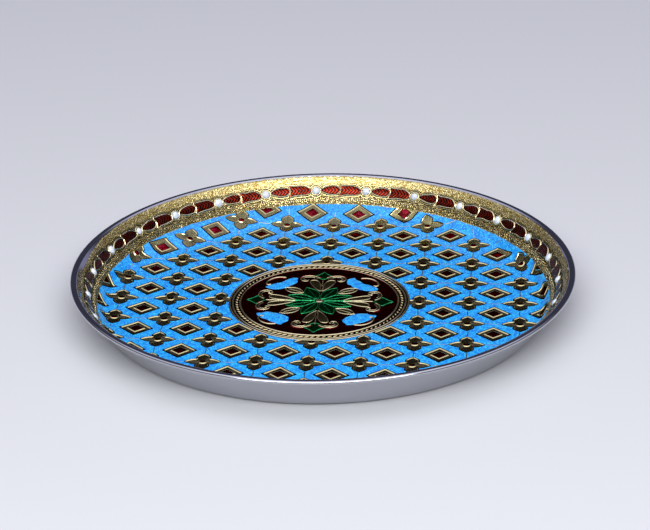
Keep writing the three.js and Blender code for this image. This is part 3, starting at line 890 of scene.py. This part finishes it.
def add_floor():
    """Foil, blue enamel, the lattice's gold cells, their red middles and the thin lines between."""
    foil = ("gold_foil", ["floor_foil"])
    piece("floor_foil_sheet", [foil_disc()], gold_lines, *foil)
    homes, is_flower = lattice()
    flat = in_plate(homes)
    near, far = norm(flat - PATTERN_SHIFT), norm(flat)
    reached = (near + LATTICE_X / 2 > RING_CLEAR) & (far - LATTICE_X / 2 < SHEET_EDGE)
    drawn = reached & (near > CELL_FROM_RING) & (far < SHEET_EDGE + CELL_PAST_EDGE)
    flower_homes, diamond_homes = homes[drawn & is_flower], homes[drawn & ~is_flower]
    flowers, flower_centres = scattered(flower_outline(), flower_homes)
    diamonds, diamond_centres = scattered(rhomb_outline(*DIAMOND), diamond_homes)
    cells = [flower_skin(flowers, flower_centres),
             mound(diamonds, diamond_centres, DIAMOND_LEVELS, on_clear_floor)]
    dots = flower_centres[:, None] + FLOWER_MIDDLE_RADIUS * circle(16)
    middles = [mound(dots, flower_centres, FLOWER_MIDDLE, on_clear_floor),
               mound(diamonds[:, ::3], diamond_centres, DIAMOND_MIDDLE, on_clear_floor)]
    rhomb = rhomb_outline(LATTICE_X / 2, LATTICE_Y / 2)
    ground = []
    for cell_homes, outlines in ((flower_homes, flowers), (diamond_homes, diamonds)):
        ground += [clear_ground(rows) for rows in ground_rows(cell_homes, outlines, rhomb)]
    bare = homes[reached & ~drawn]
    whole = [bare[:, None] + rhomb * share for share in (0.02, 0.34, 0.67, 1.0)]
    ground.append(clear_ground([(row, BLUE_TOP) for row in whole]))
    ground.append(clear_ground([(row, 0.0) for row in whole[::-1]]))
    piece("blue_enamel_ground", ground, blue, "blue_enamel", ["blue_ground_enamel"], weld=True)
    piece("gold_lattice_cells", cells, gold_cells, *foil, sharp=30)
    piece("red_cell_middles", middles, red, "red_enamel")
    links = wire(link_paths(flower_centres), 0.28, 0.05, on_floor, base=BLUE_TOP - 0.01)
    piece("gold_link_lines", [links], gold_lines, *foil)


# Medallion


# Section of the medallion's ring from its inner foot as (radius, height, v): a crest, a groove for the
# beads, and two crests outside it with a narrow groove between
# The v column sets painted shade: the gold is painted near black where v nears 1, at the feet and on the
# groove floors
RING = np.array([
    (39.5, 0.0, 1.0), (39.5, 0.30, 0.9), (39.75, 0.48, 0.3), (40.05, 0.52, 0.0), (40.3, 0.42, 0.5),
    (40.55, 0.20, 1.0), (43.3, 0.20, 1.0), (43.55, 0.38, 0.5), (43.8, 0.5, 0.0), (44.1, 0.44, 0.4),
    (44.35, 0.26, 1.0), (44.85, 0.26, 1.0), (45.1, 0.42, 0.5), (45.35, 0.52, 0.0), (45.65, 0.44, 0.4),
    (45.9, 0.30, 0.9), (46.0, 0.0, 1.0),
])
# Radius at which the ring's map has its true length
RING_MAP_RADIUS = 43
RING_BEADS = 92
BEAD_CIRCLE = 41.9
# Half a bead's length and half its width
BEAD_HALVES = np.array([1.45, 0.62])
BEAD_SLANT = 0.45
BEAD_FOOT = 0.2
BEAD_RISE = 0.34


def ring_skin():
    """The ring's section carried round the medallion, from its outer foot in."""
    section = RING[::-1]
    columns = 240
    body = unit(-TURN * np.arange(columns) / columns)[:, None] * section[:, :1]
    height = np.broadcast_to(section[:, 1], body.shape[:-1])
    v = np.append(section[:, 2], section[0, 2])
    u = np.linspace(0, TURN * RING_MAP_RADIUS, columns + 1)
    uv = np.stack(np.broadcast_arrays(u[:, None], v), -1)[None]
    return skin(on_floor(body, height)[None], uv=uv)


def ring_beads():
    """Long low beads in the ring's groove: ellipses, each turned by a slant against the circle."""
    angle = TURN * np.arange(RING_BEADS) / RING_BEADS
    size = 1 + random.normal(0, 0.07, (RING_BEADS, 1, 1))
    turned = rotated(circle(8) * BEAD_HALVES * size, angle[:, None] + np.pi / 2 + BEAD_SLANT)
    centres = BEAD_CIRCLE * unit(angle)
    # The v of each level paints shade on the bead's flank and foot; its top stays bright
    levels = [(0, BEAD_FOOT + BEAD_RISE, 0), (0.6, BEAD_FOOT + 0.8 * BEAD_RISE, 0), (1, BEAD_FOOT, 0.55),
              (0, BEAD_FOOT - 0.1, 1)]
    return mound(centres[:, None] + turned, centres, levels, on_floor)


def maroon_skin():
    """Maroon ground: a flat disc inside the ring whose rim creeps up the ring's inner crest."""
    radius = np.array([8, 16, 24, 32, 38, 39.1, 39.45, 39.6, 39.6])
    height = np.array([GROUND_TOP] * 6 + [GROUND_TOP + 0.06, GROUND_TOP + 0.16, 0.0])
    body = on_floor(radius[:, None, None] * circle(120), height[:, None])[None]
    return skin(body, *[on_floor(np.zeros((1, 2)), level) for level in (GROUND_TOP, 0.0)])


def quarters(outline):
    """An outline repeated on the four arms."""
    return rotated(outline, (TURN / 4 * np.arange(4))[:, None])


def fill(outlines, above, bulge=0.05):
    """Enamel or foil inside outlines, a height above the ground: a mound with a soft bulge, rooted in
    the ground."""
    top, root = GROUND_TOP + above, GROUND_TOP - 0.1
    levels = [(0, top + bulge, 0), (0.4, top + 0.9 * bulge, 0), (0.75, top + 0.5 * bulge, 0),
              (0.97, top, 0), (1.0, top - 0.06, 0), (1.0, root, 0), (0, root, 0)]
    return mound(outlines, outlines.mean(1), levels, on_floor)


def line(paths, half, height, above, closed=False):
    """Embossed lines on the medallion, a height above its ground."""
    return wire(paths, half, height, on_floor, closed, GROUND_TOP + above)


def lens(start, end, half, power):
    """A pointed leaf along x: its half width is half times sin(pi t) to a power."""
    t = np.linspace(0, 1, 13)
    x = start + (end - start) * t
    width = half * np.sin(np.pi * t) ** power
    under, over = np.stack([x, -width], -1), np.stack([x, width], -1)[::-1]
    return np.concatenate([under[:-1], over[:-1]])


# Where each arm's bud starts, ends and is widest: right, far, left and near
BUDS = np.array([(27.9, 37.5, 4.8), (25.8, 34.8, 4.2), (27.9, 36.8, 4.6), (26.2, 36.8, 5.6)])
# A bud's outline: shares of its length and of its half width
BUD = np.array([(0, 0), (0.2, -0.55), (0.42, -1), (0.6, -0.66), (0.8, -0.28), (1, 0),
                (0.8, 0.28), (0.6, 0.66), (0.42, 1), (0.2, 0.55)])
STAR_TURNS = np.radians([20, 63.5, 116.5, 160, 200, 243.5, 296.5, 340])
ARM_STRETCH = np.array([1.02, 0.98, 1.03, 1.02])
QUADRANTS = np.array([(1, 1), (-1, 1), (-1, -1), (1, -1)])
# Turn and foot of the small leaf in the first quadrant
SMALL_TURN = np.radians(29.5)
SMALL_FOOT = np.array([8.9, 9.3])
# Points of the right arm's leaf and scroll, then of the first quadrant's clouds and the curl by them
ARM_LEAF = [(11.8, 0.4), (15.5, 0.6), (19.5, 0.9), (22.6, 1.7), (24.8, 3.2), (25.2, 4.9), (24.3, 6.4),
            (21.6, 6.1), (18.4, 4.9), (14.8, 3.0)]
ARM_SCROLL = [(27.2, 2.2), (28.9, 4.0), (29.9, 6.6), (29.4, 9.4), (27.4, 10.9), (25.0, 10.2), (24.6, 8.6),
              (26.2, 8.2)]
FAR_CLOUD = [(12.6, 24.8), (13.4, 21.2), (15.4, 18.4), (17.6, 15.8), (20.8, 13.4), (24.6, 12.9),
             (28.8, 14.2), (27.4, 17.6), (24.6, 19.8), (21.4, 21.6), (18.4, 24.8), (16.2, 27.5),
             (13.8, 27.2)]
NEAR_CLOUD = [(14.0, 24.4), (13.6, 21.4), (15.6, 18.2), (18.6, 15.6), (22.6, 14.6), (26.6, 14.7),
              (30.1, 16.4), (28.2, 19.8), (25.2, 22.8), (21.8, 25.2), (18.2, 28.2), (15.4, 26.8)]
CLOUD_CURL = [(19.2, 27.6), (22.6, 27.9), (25.9, 26.4), (28.2, 23.4), (28.9, 20.2), (27.8, 18.4),
              (26.4, 19.2)]
# The round boss in the middle as levels of a mound
BOSS_RADIUS = 1.9
# The v of each level paints shade down the boss's flank to its foot
BOSS_LEVELS = [(0, 0.62, 0), (0.6, 0.58, 0.1), (0.9, 0.5, 0.3), (1, 0.4, 0.6), (1, 0.2, 1), (0, 0.2, 1)]


def in_quadrants(outlines):
    """One outline of the first quadrant, or four, mirrored into the four quadrants and kept
    anticlockwise."""
    shapes = np.broadcast_to(outlines, (4,) + np.shape(outlines)[-2:]) * QUADRANTS[:, None]
    return np.stack([shape if a * b > 0 else shape[::-1] for shape, (a, b) in zip(shapes, QUADRANTS)])


def on_arms(path):
    """A path of the right arm on all four, each a little longer or shorter."""
    return quarters(np.asarray(path) * np.stack([ARM_STRETCH, np.ones(4)], -1)[:, None])


def both_sides(path, mirrored):
    """A path beside the right arm's middle line and its mirror image, each on all four arms."""
    return np.concatenate([on_arms(path), on_arms(mirrored)])


def add_green():
    """The star's petals and the buds, with their bright veins."""
    petals = rotated(lens(2.2, 17.4, 3.5, 0.85), STAR_TURNS[:, None])
    piece("green_star", [fill(petals, 0.1)], green, "green_enamel", ["green_star_enamel"])
    sizes = np.stack([BUDS[:, 1] - BUDS[:, 0], BUDS[:, 2]], -1)
    feet = np.stack([BUDS[:, 0], np.zeros(4)], -1)
    buds = curve(quarters(BUD * sizes[:, None] + feet[:, None]), 30)
    piece("green_buds", [fill(buds, 0.08)], green, "green_enamel",
          ["green_bud_enamel_%d" % k for k in range(1, 5)])
    piece("green_veins", [
        line(petals, 0.24, 0.2, 0.06, closed=True),
        line(buds, 0.24, 0.2, 0.06, closed=True),
        line(rotated(straight(3.4, 15.8, 10), STAR_TURNS[:, None]), 0.14, 0.12, 0.12),
        line(quarters(straight(3.0, 17.0, 16))[::2], 0.32, 0.28, 0.12),
    ], bright_green, "green_enamel", ["green_star_enamel"])


def add_medallion():
    """Ring with beads, maroon ground, green star and buds, gold palmettes and leaves, blue clouds."""
    foil = ("gold_foil", ["floor_foil"])
    piece("medallion_ring", [ring_skin()], gold_lines, *foil)
    piece("medallion_beads", [ring_beads()], gold_dull, *foil)
    piece("maroon_ground", [maroon_skin()], maroon, "maroon_enamel", ["maroon_ground_enamel"])
    add_green()

    leaf = curve(ARM_LEAF, 40)
    leaves = both_sides(leaf, flipped(leaf))
    scroll = curve(ARM_SCROLL, 30, closed=False)
    scrolls = both_sides(scroll, scroll * [1, -1])
    small = in_quadrants(rotated(lens(0, 11.4, 2.8, 0.7), SMALL_TURN) + SMALL_FOOT)
    small_ribs = (rotated(straight(1.0, 9.6, 8), SMALL_TURN) + SMALL_FOOT) * QUADRANTS[:, None]
    piece("gold_palmettes", [fill(leaves, 0.08, 0.08), fill(small, 0.08, 0.06),
                             line(scrolls, 1.0, 0.2, 0.02)], gold_leaves, *foil)

    shapes = in_quadrants(np.stack([curve(FAR_CLOUD, 16)] * 2 + [curve(NEAR_CLOUD, 16)] * 2))
    clouds = curve(shapes + random.normal(0, 0.35, shapes.shape), 60)
    piece("blue_clouds", [fill(clouds, 0.1)], blue, "blue_enamel",
          ["blue_cloud_enamel_%d" % k for k in range(1, 5)])

    curls = curve(CLOUD_CURL, 26, closed=False) * QUADRANTS[:, None]
    curl_outward = normals(curls, False) * np.prod(QUADRANTS, 1)[:, None, None]
    scroll_outward = normals(scrolls, False) * np.repeat([1, -1], 4)[:, None, None]
    outer, inner = scrolls - 0.75 * scroll_outward, scrolls + 0.75 * scroll_outward
    piece("medallion_lines", [
        line(leaves, 0.26, 0.22, 0.06, closed=True),
        line(small, 0.26, 0.22, 0.06, closed=True),
        line(small_ribs, 0.16, 0.14, 0.12),
        line(outer, 0.3, 0.26, 0.08),
        line(inner[:, 4:], 0.2, 0.18, 0.08),
        line(curls, 0.5, 0.34, 0.04),
        line(quarters(straight(17.4, 27.6, 12)), 0.3, 0.26, 0.08),
    ], gold_lines, *foil)
    # Painted glints: thin strips of the brighter red enamel beside the scrolls and curls, standing in for
    # light caught on the edges of the maroon ground
    glint_edges = (outer - 0.7 * scroll_outward)[:, :18]
    piece("maroon_edge_glints", [line(curls - 0.75 * curl_outward, 0.36, 0.3, -0.02),
                                 line(glint_edges, 0.32, 0.26, -0.02)], red, "maroon_enamel")
    boss = mound(BOSS_RADIUS * circle(12)[None], np.zeros((1, 2)), BOSS_LEVELS, on_floor)
    piece("medallion_boss", [boss], gold_lines, *foil)


# Wall band


ALONG = PITCH * np.arange(DROPS)
PITCHES = np.stack([ALONG, np.zeros(DROPS)], -1)[:, None]

# Points of the two red leaves from the drop at their start, and of the foil arches over and under them
SMALL_LEAF = [(2.7, 0.1), (4.3, 1.3), (6.4, 2.1), (8.6, 2.4), (10.8, 2.3), (12.3, 1.7), (13.1, 0.5),
              (12.7, -0.8), (11.5, -1.7), (9.6, -2.0), (7.4, -1.9), (4.9, -1.2)]
LARGE_LEAF = [(13.0, 3.0), (14.1, 2.75), (16.5, 2.7), (18.9, 2.75), (21.0, 2.6), (22.8, 1.9), (24.2, 0.7),
              (24.6, -0.6), (23.6, -1.7), (21.0, -2.15), (18.0, -2.2), (15.2, -2.35), (13.0, -2.9),
              (13.6, -1.3), (13.8, 0.2), (13.6, 1.7)]
OVER_SMALL = [(3.4, 1.7), (5.6, 2.9), (8.4, 3.45), (11.0, 3.3), (12.7, 2.6)]
OVER_LARGE = [(13.0, 3.9), (15.4, 3.75), (18.4, 3.8), (21.4, 3.6), (23.6, 2.5), (24.4, 1.5)]
UNDER_SMALL = [(3.2, -1.6), (5.4, -2.5), (8.0, -2.95), (10.6, -2.9), (12.8, -2.9)]
UNDER_LARGE = [(13.2, -3.7), (15.6, -3.4), (18.4, -3.2), (21.2, -3.1), (23.6, -2.6), (24.6, -1.6)]
# A red leaf as (share of its outline, height), and drops and beads as levels of a mound
LEAF_LEVELS = [(0, 0.42), (0.04, 0.42), (0.15, 0.42), (0.3, 0.42), (0.6, 0.40), (0.85, 0.36), (1.0, 0.26),
               (1.0, 0.0), (0, 0.0)]
DROP_LEVELS = [(0, 1.25, 0), (0.3, 1.18, 0), (0.6, 0.98, 0), (0.82, 0.7, 0), (0.95, 0.4, 0), (1, 0.05, 0),
               (0, 0.0, 0)]
# The beads' v paints shade on their flanks and foot; their tops stay bright
BAND_BEAD_LEVELS = [(0, 0.28, 0), (0.6, 0.24, 0.2), (1, 0.02, 0.7), (0, -0.1, 1)]
# The two rows of beads in each pitch: first and last place, height on the wall and count
BEAD_ROWS = ((0.0, PITCH, -4.25, 25), (0.55, PITCH + 0.55, -5.25, 23))


def band_skin():
    """The band's foil: its face from the foot to a slightly ragged top edge, and its back against the
    glue line, carried clockwise round the wall."""
    columns = DROPS * 36
    x = DROPS * PITCH * np.arange(columns) / columns
    azimuth = x / (DROPS * PITCH) * TURN
    ragged = np.sin(azimuth[:, None] * random.integers(40, 260, 9) + random.uniform(0, TURN, 9)).sum(1)
    degrees = np.degrees(FIRST_DROP - azimuth) % 360
    lowered = np.interp(degrees, [0, 12, 25, 150, 160, 170, 185, 230, 330],
                        [0.9, 0.3, 0, 0, 0.7, 2.4, 3.0, 0.6, 0.6], period=360)
    top = BAND_TOP_STATION - DROP_STATION + 0.24 + 0.05 * ragged - lowered
    foot = SHEET_EDGE_STATION - DROP_STATION - 0.35
    share = np.concatenate([np.linspace(0, 0.96, 22), [0.975, 0.99, 1.0]])
    y = foot + (top[:, None] - foot) * share
    x = x[:, None]
    face = np.stack(np.broadcast_arrays(x, y), -1)
    dents = 0.03 * np.sin(x * 1.7 + 3 * np.sin(y)) * np.sin(y * 2.3 + 2 * np.sin(x * 0.6))
    ripple = smooth(0.0, 0.06, share) * (1 - smooth(0.95, 1.0, share))
    pressed = 0.16 * (1 - smooth(0.0, 0.08, share)) - 0.45 * smooth(0.965, 1.0, share)
    front = on_band(face, pressed + dents * ripple)
    back = on_band(face[:, ::-1][:, [0, -1]], -0.55)
    return skin(np.concatenate([front, back], 1)[None])


def leaf_outlines(leaf):
    """Outlines of a leaf on every pitch round the wall, a little uneven."""
    shape = np.array(leaf)[::-1]
    outlines = curve(shape + random.normal(0, 0.1, (DROPS,) + shape.shape), 36)
    return outlines + np.stack([ALONG, random.normal(0, 0.12, DROPS)], -1)[:, None]


def leaf_skin(outlines, middle):
    """Domed leaves with UV in the leaf's own millimetres, for the hatching."""
    centres = outlines.mean(1)
    origin = np.stack([centres[:, 0] - middle, centres[:, 1]], -1)[:, None]
    rows, uvs = [], []
    for share, height in LEAF_LEVELS[1:-1]:
        drawn = centres[:, None] + (outlines - centres[:, None]) * share
        rows.append(on_band(drawn, height))
        shown = drawn - origin
        uvs.append(np.concatenate([shown, shown[:, :1]], 1))
    ends = [on_band(centres, LEAF_LEVELS[k][1]) for k in (0, -1)]
    return skin(np.stack(rows, 1), *ends, uv=np.stack(uvs, 1))


def scallop_skins():
    """Foil arches over and under each drop and leaf."""
    over_drop = 3.5 * unit(np.linspace(2.7, 0.45, 14))
    arches = [over_drop, over_drop * [1, -1]]
    for points, count in ((OVER_SMALL, 18), (OVER_LARGE, 22), (UNDER_SMALL, 18), (UNDER_LARGE, 22)):
        arches.append(curve(points, count, closed=False))
    made = []
    for path in arches:
        paths = path + PITCHES + random.normal(0, 0.06, (DROPS,) + path.shape)
        made.append(wire(paths, 0.46, 0.16, on_band, base=0.02))
    return made


def bead_skins():
    """Two rows of small round beads under the garland, that sag a little twice in each pitch."""
    made = []
    for start, end, level, count in BEAD_ROWS:
        x = np.linspace(start, end, count, endpoint=False)
        spots = np.stack([x, level + 0.35 * np.cos(TURN * x / PITCH * 2)], -1) + PITCHES
        spots = spots.reshape(-1, 2) + random.normal(0, 0.1, (DROPS * count, 2))
        dots = 0.42 * circle(6) * random.uniform(0.7, 1.15, (len(spots), 1, 1))
        made.append(mound(spots[:, None] + dots, spots, BAND_BEAD_LEVELS, on_band))
    return made


def add_band():
    """Band foil, red leaves, white drops, the gold outlines round them and the scallops and beads."""
    foil = ("gold_foil", ["wall_band_foil"])
    piece("band_foil_sheet", [band_skin()], gold_band, *foil)
    small, large = leaf_outlines(SMALL_LEAF), leaf_outlines(LARGE_LEAF)
    piece("red_garland_leaves", [leaf_skin(small, 8.0), leaf_skin(large, 18.5)], red_leaves, "red_enamel",
          ["red_garland_enamel"])

    seats = np.stack([ALONG + random.normal(0, 0.15, DROPS), random.normal(0, 0.12, DROPS)], -1)
    wobble = 1 + 0.04 * random.normal(0, 1, (DROPS, 24))
    wobble = (wobble + np.roll(wobble, 1, 1) + np.roll(wobble, -1, 1)) / 3
    radius = random.normal(2.05, 0.1, (DROPS, 1)) * wobble
    drops = mound(seats[:, None] + radius[..., None] * circle(24), seats, DROP_LEVELS, on_band)
    piece("white_drops", [drops], white, "white_enamel",
          ["white_drop_enamel_%02d" % k for k in range(1, DROPS + 1)])

    lines = [wire(leaf - 0.22 * normals(leaf), 0.40, 0.38, on_band, closed=True, base=0.04)
             for leaf in (small, large)]
    lines.append(wire(seats[:, None] + 2.45 * circle(24), 0.32, 0.25, on_band, closed=True, base=0.02))
    piece("band_lines", lines, gold_lines, *foil)
    piece("band_scallops", scallop_skins(), gold_scallops, *foil)
    piece("band_beads", bead_skins(), gold_dull, *foil)


# Steel


def dish_section():
    """The sheet's section as (radius, height), from the axis and back to it: over floor, wall and lip
    and round the outside of the hem to its edge, then back along the sheet's other face. That face is
    a line of straight runs and bends, and the first lies a gauge to the left of it."""
    def left(angle):
        return np.stack([-np.sin(angle), np.cos(angle)], -1)

    under = [np.array([[0.0, 0.0], [60.0, 0.0], [100.0, 0.0], [FLOOR_RADIUS, 0.0]])]
    lefts = [np.tile([0.0, 1.0], (4, 1))]
    heading = 0.0
    # Straight run, then the angle, the line's radius and the points of the bend after it
    for run, angle, radius, count in (
        (0, TILT, CORNER_RADIUS, 18), (wall_run, -TILT, LIP_BEND, 14), (LIP_FLAT, -np.pi, HEM_GAP / 2, 22),
        (LIP_FLAT, 0, 0, 0),
    ):
        at = under[-1][-1] + run * unit(heading)
        under.append(at[None])
        lefts.append(left(heading)[None])
        if angle:
            side = np.sign(angle)
            angles = heading + angle * np.arange(1, count + 1) / count
            under.append(at + side * radius * left(heading) - side * radius * left(angles))
            lefts.append(left(angles))
            heading += angle
    under, lefts = np.concatenate(under), np.concatenate(lefts)
    over = under + STEEL * lefts
    return np.concatenate([over, under[::-1]])


def add_steel():
    """The dish as one turned sheet."""
    piece("steel_dish", [turned_section(dish_section(), 360)], steel, "polished_steel", ["steel_plate"],
          sharp=30)


# Floor of the room, lamps and camera


def add_stage():
    """A plain pale floor, far past the view and a hair lower than the plate."""
    mesh = bpy.data.meshes.new("room_floor")
    reach, drop = 6.0, 0.00005
    corners = [(-reach, -reach, 0), (reach, -reach, 0), (reach, reach, 0), (-reach, reach, 0)]
    mesh.from_pydata(corners, [], [(0, 1, 2, 3)])
    pale = rgb(0.61, 0.62, 0.645)
    mesh.materials.append(Look("pale_floor").dress(Base_Color=pale, Roughness=0.85, Specular_IOR_Level=0.2))
    floor = added("room_floor", mesh)
    floor.location.z = -drop


def pose(x, y, z, place):
    """The matrix of an object with its own axes and place."""
    turn = np.eye(4)
    turn[:3] = np.stack([x, y, z, place], -1)
    return Matrix(turn.tolist())


def lamp(name, place, size, watts):
    """A soft rectangular lamp in front of or over the plate that faces its centre."""
    data = bpy.data.lights.new(name, "AREA")
    data.shape = "RECTANGLE"
    data.size, data.size_y = size
    data.energy = watts
    x = np.array([1.0, 0.0, 0.0])
    z = np.array(place) / np.linalg.norm(place)
    added(name, data, pose(x, np.cross(z, x), z, place))


def add_light():
    """Soft studio light: a lamp in front and above, one overhead, and a room that is pale low down and
    overhead and dim half way up behind the plate."""
    lamp("front_lamp", (0.0, -0.97, 0.87), (1.6, 0.5), 16)
    lamp("top_lamp", (0.0, -0.1, 1.35), (1.5, 1.1), 2.5)
    world = bpy.data.worlds.new("room")
    bpy.context.scene.world = world
    world.use_nodes = True
    nodes = Nodes(world.node_tree)
    background = world.node_tree.nodes["Background"]
    x, y, z = nodes.split(nodes.add("ShaderNodeTexCoord").outputs["Generated"])
    low = nodes.step(z, 0.10, 0.24, 0.30, 0.055)
    high = nodes.step(z, 0.54, 0.76, 0.0, 0.75)
    level = nodes.math("ADD", low, high)
    behind = nodes.step(y, 0.35, 0.75)
    beside = nodes.step(nodes.math("ABSOLUTE", x), 0.2, 0.6, 0.12, 0.75)
    beside = nodes.times(beside, nodes.step(z, 0.35, 0.7, 0.1, 1.0))
    in_front = nodes.times(nodes.math("MAXIMUM", level, beside), nodes.math("SUBTRACT", 1.0, behind))
    level = nodes.math("ADD", nodes.times(level, behind), in_front)
    tint = nodes.mix(behind, rgb(1.0, 1.0, 1.1), rgb(1.0, 1.0, 1.5))
    scaled = nodes.add("ShaderNodeVectorMath", {0: tint, 3: level}, operation="SCALE")
    nodes.put(background.inputs[0], scaled.outputs[0])


def add_camera():
    """The camera fitted to the photograph: low in front, looking slightly down, with a slight roll."""
    elevation, roll = np.radians(24.2502), np.radians(1.2217)
    right = np.array([1.0, 0, 0])
    up = np.array([0, np.sin(elevation), np.cos(elevation)])
    back = np.array([0, -np.cos(elevation), np.sin(elevation)])
    place = (0.001189, -1.196405, 0.560465)
    data = bpy.data.cameras.new("camera")
    data.lens = 144.338
    data.sensor_width = 36
    data.sensor_fit = "HORIZONTAL"
    rolled = (np.cos(roll) * right - np.sin(roll) * up, np.sin(roll) * right + np.cos(roll) * up)
    bpy.context.scene.camera = added("camera", data, pose(*rolled, back, place))
    bpy.context.scene.view_settings.view_transform = "Standard"


add_camera()
add_light()
add_stage()
add_steel()
add_floor()
add_medallion()
add_band()
